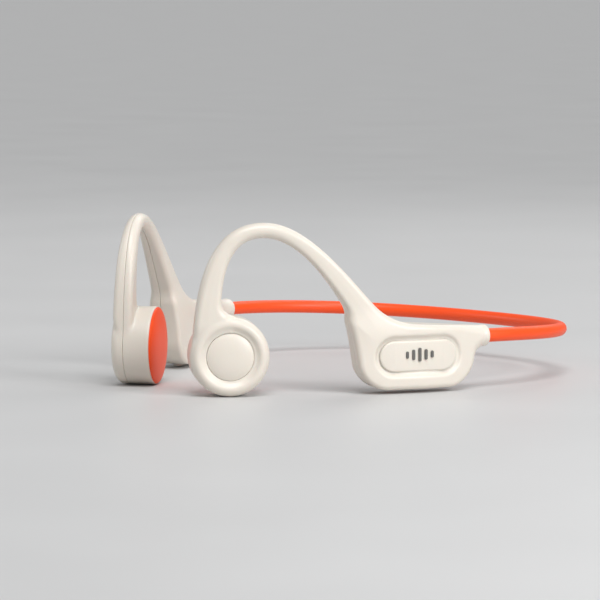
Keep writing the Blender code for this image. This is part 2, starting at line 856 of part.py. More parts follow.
def band_point(t, offset=0.0):
    """A point of the left half of the band's centre line, from the neck (0) to the back (1)."""
    x, y, heading = plan(arm_reach)
    start = Vector((x, y, neck_height))
    aim = Vector((math.sin(heading), math.cos(heading), 0))
    back = Vector((gap / 2, band_back_y, band_back_height))
    ends = (start + aim * gap, start + aim * band_exit_pull, back + Vector((band_back_pull, 0, 0)), back)
    place = bezier(*ends, t)
    slope = bezier(*ends, min(t + 1e-3, 1)) - bezier(*ends, max(t - 1e-3, 0))
    outward = Vector((slope.y, -slope.x, 0)).normalized()
    return place + outward * offset


def band_tube(name, radius, bore, look, mirror, around=12):
    """Half of the neckband's sleeve: a tube whose inner and outer walls join at both ends."""
    points = []
    there = [(radius, step / band_steps) for step in range(band_steps + 1)]
    back = [(bore, step / band_steps) for step in range(band_steps, -1, -1)]
    for size, t in there + back:
        centre = band_point(t)
        outward = (band_point(t, mm) - centre).normalized()
        for i in range(around):
            turn = 2 * math.pi * i / around
            points.append(centre + size * (math.cos(turn) * outward + math.sin(turn) * Vector((0, 0, 1))))
    rings = len(points) // around
    return solid(name, points, closed_ring_faces(rings, around), look, mirror)


def band_strand(name, radius, offset, look, mirror):
    """A wire or cable inside half of the band, also running into the pod through the neck."""
    centres = []
    for s in range(4):
        station = arm_reach - ferrule_length / 2 - gap * 2 + s * (ferrule_length / 2) / 4
        centres.append(bend((offset, station, neck_height)))
    for step in range(band_steps + 1):
        centres.append(band_point(step / band_steps, offset))
    return strand(name, centres, radius, look, mirror)


def ferrule(side, mirror):
    """The short tube that joins the neck and the band's sleeve, as one ring of both walls."""
    outer = band_bore - gap / 3
    inner = outer - ferrule_wall
    around = 12
    centres = []
    for step in range(5):
        station = arm_reach - ferrule_length / 2 + step * ferrule_length / 8
        centres.append((bend((0, station, neck_height)), plan(station)[2]))
    x, y, heading = plan(arm_reach)
    for step in range(1, 5):
        reach = step * ferrule_length / 8
        t = reach / (3 * band_exit_pull)
        place = band_point(t)
        ahead = band_point(t + 0.01) - band_point(t)
        centres.append((place, math.atan2(ahead.x, ahead.y)))
    points = []
    upward = Vector((0, 0, 1))
    for radius, line in ((outer, centres), (inner, centres[::-1])):
        for centre, heading in line:
            outward = Vector((math.cos(heading), -math.sin(heading), 0))
            for i in range(around):
                turn = 2 * math.pi * i / around
                points.append(centre + radius * (math.cos(turn) * outward + math.sin(turn) * upward))
    rings = len(points) // around
    return solid(f"{side}_band_ferrule", points, closed_ring_faces(rings, around), steel, mirror)


def battery():
    """The pouch cell and its protection board in the left pod."""
    centre_w = (pod_cavity_depth - pod_inner_depth + wall) / 2 - gap
    frame = frame_at(centre_w, badge_station, badge_height)
    cell = box("left_battery", frame, (battery_thickness, battery_length, battery_height), foil)
    bevel = cell.modifiers.new("round_edges", "BEVEL")
    bevel.width = battery_thickness * 0.2
    bevel.segments = 2
    station = badge_station - battery_length / 2 - board_thickness
    frame = frame_at(centre_w, station, badge_height)
    width, height = battery_board_size
    box("left_battery_board", frame, (width, board_thickness, height), board_green)


def electronics():
    """The board, radio, antenna, switches, pins, light pipe and microphone in the right pod."""
    frame = frame_at(0, badge_station + main_board_shift, badge_height + main_board_lift)
    size = (board_thickness, main_board_length, main_board_height)
    box("right_main_board", frame, size, board_green, True)
    module_w = -(board_thickness / 2 + glue_line + radio_thickness / 2)
    shield = frame @ Matrix.Translation((module_w, -main_board_length * 0.25, 0))
    box("right_radio_module", shield, (radio_thickness, radio_length, radio_height), foil, True)
    whip = frame @ Matrix.Translation((module_w, main_board_length * 0.32, main_board_height * 0.32))
    box("right_antenna", whip, antenna_size, gold, True)
    for name, station in volume_stations.items():
        low = pod_bottom - volume_button_proud
        volume_button(name, station, low)
        flange_top = floor_inside + gap + volume_flange
        reach = flange_top + volume_button_travel + press_room
        frame = frame_at(volume_w, station, reach + switch_height / 2)
        box(f"right_{name}_switch", frame, (*switch_size, switch_height), graphite, True)
    for name, station in charge_stations.items():
        frame = frame_at(-pod_inner_depth, station, charge_height)
        post(f"right_{name}", frame, charge_pin_radius, 0, charge_pin_length, gold, True)
    holder = frame_at(-pod_inner_depth + charge_board_depth, badge_station, charge_height)
    size = (board_thickness, charge_pin_pitch + 2 * charge_board_margin, 2 * charge_board_margin)
    box("right_charge_board", holder, size, board_green, True)
    frame = frame_at(-pod_inner_depth * pod_scale(light_station), light_station, charge_height)
    post("right_light_pipe", frame, light_pipe_radius, 0, light_pipe_length, clear_plastic, True)
    frame = frame_at(-pod_inner_depth + wall + gap, microphone_station, microphone_height)
    post("right_microphone", frame, microphone_radius, 0, microphone_thickness, steel, True)


def volume_button(name, station, low):
    """A pill-shaped key that shows under the pod, with a flange above the pod's floor."""
    flange_low = floor_inside + gap
    length = volume_button_length
    width = volume_button_width
    key = pill_prism("key", station, (length, width), (low, flange_low + volume_flange / 2))
    size = (length + 2 * volume_lip, width + 2 * volume_lip)
    flange = pill_prism("flange", station, size, (flange_low, flange_low + volume_flange))
    boolean(key, flange, "UNION")
    finish(take_shape(key, f"right_{name}_button", True), cream)


def clear_scene():
    for obj in list(bpy.data.objects):
        bpy.data.objects.remove(obj)


def set_origin(obj, place):
    """Moves the object's origin to a world point and leaves its shape where it is."""
    obj.data.transform(Matrix.Translation(-place))
    obj.location = place


def hang(children, name, place):
    """Parents objects to an empty on their joint's axis."""
    axis = bpy.data.objects.new(name, None)
    axis.location = place
    bpy.context.scene.collection.objects.link(axis)
    for child in children:
        child.parent = axis
        child.matrix_parent_inverse = Matrix.Translation(-place)
    return axis


def build():
    clear_scene()
    shells()
    for side in ("left", "right"):
        mirror = side == "right"
        exciter(side, mirror)
        contact_pad(side, mirror)
        badge_plate(f"{side}_badge_plate", mirror)
        hook_strand(f"{side}_hook_wire", wire_diameter / 2, wire_offset, titanium, mirror)
        hook_strand(f"{side}_hook_cable", cable_diameter / 2, -wire_offset, graphite, mirror)
        ferrule(side, mirror)
        band_tube(f"{side}_band_sleeve", band_radius, band_bore, orange, mirror)
        band_strand(f"{side}_band_wire", wire_diameter / 2, wire_offset, titanium, mirror)
        band_strand(f"{side}_band_cable", cable_diameter / 2, -wire_offset, graphite, mirror)
    disc_cap("left_multifunction_button", False)
    disc_cap("right_disc_cap", True)
    button_parts()
    battery()
    electronics()
    place_on_axes()


def place_on_axes():
    """Puts each moving piece's origin, or its parent, on the axis that it moves along or about."""
    nodes = bpy.data.objects
    left_disc = bend((0, 0, disc_radius))
    right_disc = Vector((-left_disc.x, left_disc.y, left_disc.z))
    set_origin(nodes["left_multifunction_button"], left_disc)
    for name, station in volume_stations.items():
        place = bend((volume_w, station, pod_bottom))
        set_origin(nodes[f"right_{name}_button"], Vector((-place.x, place.y, place.z)))
    masses = ("exciter_yoke", "exciter_magnet", "exciter_pole_plate")
    left_mass = hang([nodes[f"left_{name}"] for name in masses], "left_exciter_axis", left_disc)
    hang([nodes[f"right_{name}"] for name in masses], "right_exciter_axis", right_disc)
    flex = Vector((0, band_back_y + band_radius, band_back_height))
    free = [obj for obj in nodes if obj.name.startswith("left_") and obj.parent is None]
    hang(free, "neckband_flex_axis", flex)


build()
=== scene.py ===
import json
import math

import bmesh
import bpy
import numpy as np
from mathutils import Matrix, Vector

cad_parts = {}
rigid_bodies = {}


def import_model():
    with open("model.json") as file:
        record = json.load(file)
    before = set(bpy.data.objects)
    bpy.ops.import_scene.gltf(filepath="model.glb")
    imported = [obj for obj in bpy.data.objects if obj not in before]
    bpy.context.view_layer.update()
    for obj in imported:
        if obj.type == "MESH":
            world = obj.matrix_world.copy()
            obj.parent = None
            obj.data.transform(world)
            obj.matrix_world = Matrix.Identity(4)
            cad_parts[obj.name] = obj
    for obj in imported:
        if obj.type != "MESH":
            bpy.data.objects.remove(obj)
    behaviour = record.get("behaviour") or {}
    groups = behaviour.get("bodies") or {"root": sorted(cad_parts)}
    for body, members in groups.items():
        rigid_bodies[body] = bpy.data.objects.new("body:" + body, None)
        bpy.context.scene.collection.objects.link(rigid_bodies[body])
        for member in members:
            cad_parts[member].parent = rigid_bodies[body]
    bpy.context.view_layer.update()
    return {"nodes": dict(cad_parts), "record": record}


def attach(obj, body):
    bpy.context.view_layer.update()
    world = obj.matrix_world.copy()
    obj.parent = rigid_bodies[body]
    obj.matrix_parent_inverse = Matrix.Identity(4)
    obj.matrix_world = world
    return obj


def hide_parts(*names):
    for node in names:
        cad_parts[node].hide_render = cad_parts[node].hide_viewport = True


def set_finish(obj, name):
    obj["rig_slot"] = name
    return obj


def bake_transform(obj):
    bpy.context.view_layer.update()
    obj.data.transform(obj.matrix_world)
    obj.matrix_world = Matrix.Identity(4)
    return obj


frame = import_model()
cadNodes = frame["nodes"]
mm = 0.001
print("frame loaded:", len(cadNodes), "nodes")


# Shader sums are written as Python expressions: a Wire is one socket, and its operators add Math nodes.
class Wire:
    def __init__(self, look, socket):
        self.look = look
        self.socket = socket

    def __add__(self, other):
        return self.look.sum("ADD", self, other)

    def __radd__(self, other):
        return self.look.sum("ADD", other, self)

    def __sub__(self, other):
        return self.look.sum("SUBTRACT", self, other)

    def __rsub__(self, other):
        return self.look.sum("SUBTRACT", other, self)

    def __mul__(self, other):
        return self.look.sum("MULTIPLY", self, other)

    def __rmul__(self, other):
        return self.look.sum("MULTIPLY", other, self)


class Look:
    def __init__(self, name):
        self.material = bpy.data.materials.new(name)
        self.material.use_nodes = True
        self.tree = self.material.node_tree
        self.shader = self.tree.nodes["Principled BSDF"]

    # Any node by its type: its settings first, then the values or links of its sockets.
    def node(self, kind, settings, sockets, output=0):
        made = self.tree.nodes.new(kind)
        for key, value in settings.items():
            setattr(made, key, value)
        for key, value in sockets.items():
            if isinstance(value, Wire):
                self.tree.links.new(value.socket, made.inputs[key])
            else:
                made.inputs[key].default_value = value
        return Wire(self, made.outputs[output])

    def sum(self, operation, first, second):
        return self.node("ShaderNodeMath", {"operation": operation}, {0: first, 1: second})

    def place(self, stretch=(1, 1, 1)):
        coords = self.node("ShaderNodeTexCoord", {}, {}, "Object")
        return self.node("ShaderNodeMapping", {}, {"Vector": coords, "Scale": stretch})

    def noise(self, place, scale, detail=2.0):
        return self.node("ShaderNodeTexNoise", {}, {"Vector": place, "Scale": scale, "Detail": detail})

    def mix(self, factor, first, second):
        sockets = {0: factor, 6: first, 7: second}
        return self.node("ShaderNodeMix", {"data_type": "RGBA"}, sockets, 2)

    def bump(self, height, distance):
        return self.node("ShaderNodeBump", {}, {"Height": height, "Distance": distance, "Strength": 1.0})

    def feed(self, **inputs):
        for key, value in inputs.items():
            socket = self.shader.inputs[key.replace("_", " ")]
            if isinstance(value, Wire):
                self.tree.links.new(value.socket, socket)
            else:
                socket.default_value = value
        return self.material


# Camera and light.
view = {
    "place": (842.4, -799.1, 131.1),
    "target": (8.95, -21.44, 25.36),
    "lens": 221.8,
    "sensor": 36.0,
    "nearest": 0.05,
}
camera = bpy.data.objects.new("camera", bpy.data.cameras.new("camera"))
bpy.context.scene.collection.objects.link(camera)
camera.data.lens = view["lens"]
camera.data.sensor_width = view["sensor"]
camera.data.clip_start = view["nearest"]
camera.location = Vector(view["place"]) * mm
aim = (Vector(view["target"]) - Vector(view["place"])).normalized()
camera.rotation_euler = aim.to_track_quat("-Z", "Y").to_euler()
bpy.context.scene.camera = camera
bpy.context.scene.view_settings.view_transform = "Standard"

# Each lamp: azimuth and height of its direction, distance, size (degrees for the sun) and strength.
lamps = {
    "skylight": {"kind": "SUN", "azimuth": -35, "height": 62, "away": 1.0, "size": 34, "power": 1.9},
    "rightFront": {"kind": "AREA", "azimuth": 2, "height": 24, "away": 0.9, "size": 0.4, "power": 4.0},
    "leftRim": {"kind": "AREA", "azimuth": -150, "height": 22, "away": 0.8, "size": 0.3, "power": 0.8},
    "backRim": {"kind": "AREA", "azimuth": 110, "height": 40, "away": 0.8, "size": 0.5, "power": 1.0},
}
centre = Vector((0, 0, 0.024))
for name, lamp in lamps.items():
    light = bpy.data.objects.new(name, bpy.data.lights.new(name, lamp["kind"]))
    bpy.context.scene.collection.objects.link(light)
    azimuth = math.radians(lamp["azimuth"])
    height = math.radians(lamp["height"])
    level = math.cos(height)
    out = Vector((math.cos(azimuth) * level, math.sin(azimuth) * level, math.sin(height)))
    light.location = centre + out * lamp["away"]
    light.rotation_euler = (-out).to_track_quat("-Z", "Y").to_euler()
    light.data.energy = lamp["power"]
    if lamp["kind"] == "SUN":
        light.data.angle = math.radians(lamp["size"])
    else:
        light.data.shape = "DISK"
        light.data.size = lamp["size"]
room = {"colour": (0.86, 0.87, 0.88, 1), "strength": 0.34}
world = bpy.data.worlds.new("room")
bpy.context.scene.world = world
world.use_nodes = True
background = world.node_tree.nodes["Background"]
background.inputs["Color"].default_value = room["colour"]
background.inputs["Strength"].default_value = room["strength"]
print("camera and lamps placed")


# The arm is laid out flat in millimetres as (w, s, z): w outward, s rearward from the disc's centre, z up.
overallLength = 148.5
plan = {
    "discX": 22.6,
    "frontHeading": math.radians(36.0),
    "rearHeading": math.radians(10.2),
    "straightRun": 22.0,
    "reach": 81.8,
}
disc = {
    "radius": 12.0,
    "front": 4.0,
    "back": 8.1,
    "edge": 2.3,
    "backEdge": 0.16,
    "dish": 0.75,
    "dishFrom": 9.5,
    "dishRun": 2.0,
    "crest": 0.28,
    "crestFrom": 7.6,
    "crestTo": 12.2,
    "crestRun": 2.2,
    "mouth": 7.16,
    "wall": 1.2,
    "join": 0.6,
}
# How far the disc's rounded rim reaches ahead of its centre.
reachForward = (
    (disc["radius"] - disc["edge"]) * math.cos(plan["frontHeading"])
    + (disc["front"] - disc["edge"]) * math.sin(plan["frontHeading"])
    + disc["edge"]
)
plan["discY"] = reachForward - overallLength / 2
plan["turn"] = (plan["reach"] - plan["straightRun"]) / (plan["frontHeading"] - plan["rearHeading"])


# The sheet's heading and place in plan: a straight run, then an arc of one radius.
def planOf(station):
    flat = np.minimum(station, plan["straightRun"])
    past = np.maximum(station - plan["straightRun"], 0)
    heading = plan["frontHeading"] - past / plan["turn"]
    x = plan["discX"] + flat * math.sin(plan["frontHeading"])
    y = plan["discY"] + flat * math.cos(plan["frontHeading"])
    x = x + plan["turn"] * (np.cos(heading) - math.cos(plan["frontHeading"]))
    y = y + plan["turn"] * (math.sin(plan["frontHeading"]) - np.sin(heading))
    return x, y, heading


# World points in metres: the plan's place, moved w along the outward normal (cos h, -sin h).
def bendArm(w, s, z):
    x, y, heading = planOf(s)
    return np.stack([x + w * np.cos(heading), y - w * np.sin(heading), z + 0 * x], axis=-1) * mm


# A mesh from arrays of points and of faces; the right side's faces are turned round after mirroring.
def makePiece(name, points, faces, side="left"):
    if side == "right":
        points = points * np.array([-1.0, 1, 1])
        faces = [group[:, ::-1] for group in faces]
    mesh = bpy.data.meshes.new(name)
    counts = np.concatenate([np.full(len(group), group.shape[1]) for group in faces])
    corners = np.concatenate([group.ravel() for group in faces])
    mesh.vertices.add(len(points))
    mesh.vertices.foreach_set("co", points.astype(np.float32).ravel())
    mesh.loops.add(len(corners))
    mesh.loops.foreach_set("vertex_index", corners.astype(np.int32))
    mesh.polygons.add(len(counts))
    mesh.polygons.foreach_set("loop_start", np.concatenate([[0], np.cumsum(counts)[:-1]]).astype(np.int32))
    mesh.polygons.foreach_set("loop_total", counts.astype(np.int32))
    mesh.update(calc_edges=True)
    mesh.validate()
    mesh.shade_smooth()
    piece = bpy.data.objects.new(name, mesh)
    bpy.context.scene.collection.objects.link(piece)
    return piece


def easeIn(value):
    value = np.clip(value, 0, 1)
    return value * value * (3 - 2 * value)


# The larger of two distances, with the corner between them turned on an arc of the given radius.
def roundCorner(first, second, radius):
    inside = np.minimum(np.maximum(first + radius, second + radius), 0)
    outside = np.hypot(np.maximum(first + radius, 0), np.maximum(second + radius, 0))
    return inside + outside - radius


# The smaller of two distances, with the inner corner filled over a reach of width.
def softJoin(first, second, width):
    share = np.maximum(width - np.abs(first - second), 0) / width
    return np.minimum(first, second) - share * share * width / 4


# The larger of two distances, with the edge between them eased over a reach of width.
def softCut(first, second, width):
    return -softJoin(-first, -second, width)


# How far (s, z) lies outside the line from a to b, for an outline that runs anticlockwise.
def beyondLine(s, z, a, b):
    length = math.hypot(b[0] - a[0], b[1] - a[1])
    return ((s - a[0]) * (b[1] - a[1]) - (z - a[1]) * (b[0] - a[0])) / length


# Distance to a pill outline: a straight middle of half length run, with round ends.
def pillDistance(along, across, run, radius):
    return np.hypot(np.maximum(np.abs(along) - run, 0), across) - radius


hook = {
    "topStation": 10.3,
    "topHeight": 49.7,
    "topWidth": 4.6,
    "topThick": 4.9,
    "foot": (-6.86, 16.2),
    "footWidth": 8.6,
    "footInside": 2.8,
    "footOutside": 3.7,
    "root": (46.16, 16.5),
    "podWidth": 10.5,
    "podThick": 8.4,
    "rootInside": 6.0,
    "tail": 4.5,
    "flare": 6.0,
    "flareLimit": 4.0,
    "podFillet": 5.5,
    "footPull": 0.66,
    "topPull": 11.85,
    "rearPull": 0.38,
    "rootPull": 0.27,
    "rootLift": 0.41,
    "fade": 1.9,
    "fadeTop": 22.0,
    "fadeRun": 10.0,
    "fadeShare": -0.4,
    "rootPower": 1.6,
    "roundTop": 0.94,
    "roundFoot": 0.36,
    "roundRoot": 0.5,
    "roundPace": 1.6,
}


# Centre line of the hook: two cubic curves, from the foot over the top to the root, after a straight tail
# that climbs to the foot.
def hookLine(count=260):
    foot = np.array(hook["foot"])
    root = np.array(hook["root"])
    top = np.array([hook["topStation"], hook["topHeight"]])
    rise = top[1] - foot[1]
    drop = top[1] - root[1]
    run = root[0] - top[0]
    front = [foot, foot + [0, hook["footPull"] * rise], top - [hook["topPull"], 0], top]
    lift = [-hook["rootPull"] * run, hook["rootLift"] * drop]
    rear = [top, top + [hook["rearPull"] * run, 0], root + lift, root]
    t = np.linspace(0, 1, count)[:, None]
    curves = []
    for a, b, c, d in (front, rear):
        curves.append(a * (1 - t) ** 3 + 3 * b * t * (1 - t) ** 2 + 3 * c * t * t * (1 - t) + d * t**3)
    steps = np.linspace(1, 0, 40, endpoint=False)[:, None]
    tail = foot - steps * np.array([0, hook["tail"]])
    points = np.concatenate([tail, curves[0], curves[1][1:]])
    share = np.concatenate([-1 - steps[:, 0] * hook["tail"] / rise, t[:, 0] - 1, t[1:, 0]])
    return points, share


# For each (s, z): distance from the hook's centre line and the share u of the nearest point along it.
def hookNearest(s, z):
    points, share = hookLine()
    best = np.full(s.shape, np.inf)
    index = np.zeros(s.shape, int)
    for i, (ps, pz) in enumerate(points):
        away = (s - ps) ** 2 + (z - pz) ** 2
        closer = away < best
        best[closer] = away[closer]
        index[closer] = i
    tangent = np.gradient(points, axis=0)
    tangent /= np.linalg.norm(tangent, axis=1)[:, None]
    pace = np.gradient(share) / np.linalg.norm(np.gradient(points, axis=0), axis=1)
    ds = s - points[index, 0]
    dz = z - points[index, 1]
    along = ds * tangent[index, 0] + dz * tangent[index, 1]
    across = np.abs(dz * tangent[index, 0] - ds * tangent[index, 1])
    past = np.where((index == 0) & (along < 0), along, 0)
    past = np.where((index == len(points) - 1) & (along > 0), along, past)
    u = share[index] + (along - past) * pace[index]
    return np.hypot(across, past), u


pod = {
    "front": 38.6,
    "rear": 76.8,
    "bottom": 1.1,
    "height": 21.0,
    "lean": math.tan(math.radians(8.0)),
    "slope": math.tan(math.radians(4.17)),
    "corner": 8.3,
    "frontCorner": 1.2,
    "outDepth": 4.8,
    "inDepth": 6.2,
    "outEdge": 1.5,
    "inEdge": 1.1,
    "taper": 0.72,
    "taperRun": 19.6,
    "crown": 0.22,
    "crownRun": 6.0,
    "lowFrontLean": 4,
    "lowRearLean": 3,
    "highRearLean": 6,
    "highFrontLean": 1.7,
    "rearSpur": 1.6,
    "strapReach": 7.0,
    "blendFrom": 5.0,
    "blendRun": 11.0,
}
neck = {
    "radius": 3.0,
    "start": 70.0,
    "fillet": 4.0,
    "bore": 1.67,
    "boreStart": 71.0,
    "lip": 0.2,
    "collar": 1.7,
    "collarRun": 0.5,
    "groove": 0.16,
    "blendFrom": 68.0,
    "blendRun": 12.0,
    "fullness": 0.985,
}
podTop = pod["bottom"] + pod["height"]
neck["height"] = podTop - (plan["reach"] - pod["front"]) * pod["slope"] - neck["radius"]
badge = {
    "station": (pod["front"] + pod["rear"]) / 2 - 0.6,
    "height": pod["bottom"] + pod["height"] / 2 - 0.3,
    "length": 28.0,
    "tall": 12.4,
    "groove": 1.5,
    "floor": 3.7,
    "slope": 0.68,
    "floorEdge": 0.4,
    "rimEdge": 0.6,
}


def podScale(s):
    return 1 - (1 - pod["taper"]) * easeIn((s - (pod["rear"] - pod["taperRun"])) / pod["taperRun"])


# Everything about the arm that depends on (s, z) alone: its outline's distance, and the depths and edges
# of its two faces.
def armMaps(s, z):
    lean = pod["height"] * pod["lean"]
    fall = (pod["rear"] - pod["front"]) * pod["slope"]
    lowFront = (pod["front"] + lean / pod["lowFrontLean"], pod["bottom"])
    lowRear = (pod["rear"] - lean / pod["lowRearLean"], pod["bottom"])
    highRear = (pod["rear"] + lean / pod["highRearLean"] + pod["rearSpur"], podTop - fall)
    highFront = (pod["front"] - lean / pod["highFrontLean"], podTop)
    bottom = beyondLine(s, z, lowFront, lowRear)
    rear = beyondLine(s, z, lowRear, highRear)
    top = beyondLine(s, z, highRear, highFront)
    front = beyondLine(s, z, highFront, lowFront)
    body = np.maximum(roundCorner(front, bottom, pod["corner"]), roundCorner(bottom, rear, pod["corner"]))
    # The neck is a level strip behind the pod, filleted into the pod's rear edge.
    shaft = np.maximum(neck["height"] - neck["radius"] - z, neck["start"] - s)
    podOnly = np.maximum(softJoin(body, shaft, neck["fillet"]), roundCorner(front, top, pod["frontCorner"]))
    away, u = hookNearest(s, z)
    foot = easeIn(-u)
    root = np.clip(u, 0, 1)
    halfWidth = hook["topWidth"] / 2 + (hook["footWidth"] - hook["topWidth"]) / 2 * np.clip(-u, 0, 1) ** 2
    halfWidth = halfWidth + (hook["podWidth"] - hook["topWidth"]) / 2 * root**3
    strap = away - halfWidth
    # On its inner side the leg flares into the disc's round outline.
    circle = np.hypot(s, z - disc["radius"]) - disc["radius"]
    flared = np.maximum(softJoin(strap, circle, hook["flare"]), strap - hook["flareLimit"])
    strap = np.where((s > hook["foot"][0]) & (s < hook["topStation"]), flared, strap)
    outline = softJoin(strap, podOnly, hook["podFillet"])
    half = hook["topThick"] / 2
    thick = half + (hook["podThick"] / 2 - half) * root**2
    fade = hook["fade"] * easeIn((hook["fadeTop"] - z) / hook["fadeRun"]) * (u < hook["fadeShare"])
    strapOut = np.where(u < 0, half + (hook["footOutside"] - half) * foot - fade, thick)
    deep = half + (hook["rootInside"] - half) * root ** hook["rootPower"]
    strapIn = np.where(u < 0, half + (hook["footInside"] - half) * foot, deep)
    nearStrap = easeIn((pod["strapReach"] - strap) / pod["strapReach"])
    podShare = 1 - (1 - easeIn((pod["blendFrom"] - podOnly) / pod["blendRun"])) * nearStrap
    scale = podScale(s)
    toNeck = easeIn((s - neck["blendFrom"]) / neck["blendRun"])
    outDepth = pod["outDepth"] * scale + (neck["radius"] - pod["outDepth"] * scale) * toNeck
    inDepth = pod["inDepth"] * scale + (neck["radius"] - pod["inDepth"] * scale) * toNeck
    crown = pod["crown"] * (1 - toNeck) * np.clip(1 + outline / pod["crownRun"], 0, 1.1) ** 2
    roundness = hook["roundTop"] - hook["roundFoot"] * foot
    roundness = roundness - hook["roundRoot"] * easeIn(root * hook["roundPace"])
    strapEdge = roundness * np.minimum(halfWidth, np.minimum(strapOut, strapIn))
    maps = {"outline": outline, "scale": scale, "podShare": podShare}
    maps["out"] = strapOut + (outDepth - strapOut) * podShare
    maps["in"] = strapIn + (inDepth - strapIn) * podShare
    maps["outFace"] = maps["out"] - crown
    maps["inFace"] = maps["in"] - crown
    neckEdge = neck["fullness"] * neck["radius"]
    podOutEdge = pod["outEdge"] + (neckEdge - pod["outEdge"]) * toNeck
    podInEdge = pod["inEdge"] + (neckEdge - pod["inEdge"]) * toNeck
    maps["outEdge"] = strapEdge + (podOutEdge - strapEdge) * podShare
    maps["inEdge"] = strapEdge + (podInEdge - strapEdge) * podShare
    return maps


hollows = {
    "podWall": 0.9,
    "outRound": 1.2,
    "inRound": 2.0,
    "cavityEnd": 74.0,
    "chamberRound": 1.0,
    "edge": 0.25,
    "mouthEdge": 0.2,
}


# Signed distance to the arm's moulding, negative in the plastic. maps holds what depends on (s, z) alone.
def armField(w, s, z, maps):
    outline = maps["outline"]
    sheet = np.maximum(
        roundCorner(outline, w - maps["outFace"], maps["outEdge"]),
        roundCorner(outline, -w - maps["inFace"], maps["inEdge"]),
    )
    sheet = sheet - neck["groove"] * easeIn((s - plan["reach"] + neck["collar"]) / neck["collarRun"])
    sheet = roundCorner(sheet, s - plan["reach"], neck["lip"])
    radius = np.hypot(s, z - disc["radius"])
    dished = disc["dish"] * easeIn((disc["dishFrom"] - radius) / disc["dishRun"])
    face = disc["front"] - disc["crest"] - dished
    crestIn = easeIn((radius - disc["crestFrom"]) / disc["crestRun"])
    face = face + disc["crest"] * crestIn * easeIn((disc["crestTo"] - radius) / disc["crestRun"])
    drum = np.maximum(
        roundCorner(radius - disc["radius"], w - face, disc["edge"]),
        roundCorner(radius - disc["radius"], -w - disc["back"], disc["backEdge"]),
    )
    solid = softJoin(sheet, drum, disc["join"])
    # Hollows: the pod's and the hook's cavity, the disc's chamber, the button's mouth and the band's bore.
    wall = disc["wall"]
    outCut = maps["out"] - wall - hollows["podWall"] * maps["podShare"]
    outRound = np.minimum(maps["outEdge"], hollows["outRound"])
    inRound = np.minimum(maps["inEdge"], hollows["inRound"])
    cavity = np.maximum(
        roundCorner(outline + wall, w - outCut, outRound),
        roundCorner(outline + wall, -w - (maps["in"] - wall), inRound),
    )
    cavity = np.maximum(cavity, s - hollows["cavityEnd"])
    roof = disc["front"] - disc["dish"] - wall
    chamber = roundCorner(radius - (disc["radius"] - wall), w - roof, hollows["chamberRound"])
    mouth = np.maximum(radius - disc["mouth"], roof - hollows["chamberRound"] - w)
    bore = np.maximum(np.hypot(w, z - neck["height"]) - neck["bore"], neck["boreStart"] - s)
    hollow = np.minimum(np.minimum(cavity, chamber), bore)
    solid = softCut(solid, -hollow, hollows["edge"])
    solid = softCut(solid, -mouth, hollows["mouthEdge"])
    # The badge's recess: a pill with sloping sides and a flat floor.
    run = (badge["length"] - badge["tall"]) / 2
    pill = pillDistance(s - badge["station"], z - badge["height"], run, badge["tall"] / 2)
    side = (pill + badge["slope"] * (maps["outFace"] - w)) / math.sqrt(1 + badge["slope"] ** 2)
    recess = softCut(side, badge["floor"] * maps["scale"] - w, badge["floorEdge"])
    return softCut(solid, -recess, badge["rimEdge"])


# A net of quads on the zero surface: one point in each crossed cell, at the mean of its edges' crossings.
def surfaceNet(field, axes):
    inside = field < 0
    cells = tuple(n - 1 for n in field.shape)
    total = np.zeros((3, *cells))
    hits = np.zeros(cells)
    steps = [np.diff(axis) for axis in axes]
    crossings = []
    for axis in range(3):
        low = [slice(None)] * 3
        high = [slice(None)] * 3
        low[axis] = slice(0, -1)
        high[axis] = slice(1, None)
        low, high = tuple(low), tuple(high)
        crossed = inside[low] != inside[high]
        crossings.append(crossed)
        share = np.where(crossed, field[low] / np.where(crossed, field[low] - field[high], 1), 0)
        others = [k for k in range(3) if k != axis]
        for first in (0, 1):
            for second in (0, 1):
                part = [slice(None)] * 3
                part[others[0]] = slice(first, first + cells[others[0]])
                part[others[1]] = slice(second, second + cells[others[1]])
                part = tuple(part)
                hits += crossed[part]
                total[axis] += share[part]
                total[others[0]] += first * crossed[part]
                total[others[1]] += second * crossed[part]
    used = np.nonzero(hits)
    number = np.full(cells, -1)
    number[used] = np.arange(len(used[0]))
    points = []
    for axis in range(3):
        inner = total[axis][used] / hits[used]
        points.append(axes[axis][used[axis]] + inner * steps[axis][used[axis]])
    quads = []
    for axis in range(3):
        one, two = (axis + 1) % 3, (axis + 2) % 3
        crossed = crossings[axis].copy()
        for k in (one, two):
            edge = [slice(None)] * 3
            edge[k] = [0, -1]
            crossed[tuple(edge)] = False
        where = np.array(np.nonzero(crossed))
        rising = inside[tuple(where)]
        ring = []
        for a, b in ((1, 1), (0, 1), (0, 0), (1, 0)):
            cell = where.copy()
            cell[one] -= a
            cell[two] -= b
            ring.append(number[tuple(cell)])
        quad = np.stack(ring, axis=1)
        quads.append(np.where(rising[:, None], quad, quad[:, ::-1]))
    return np.stack(points, axis=1), np.concatenate(quads)


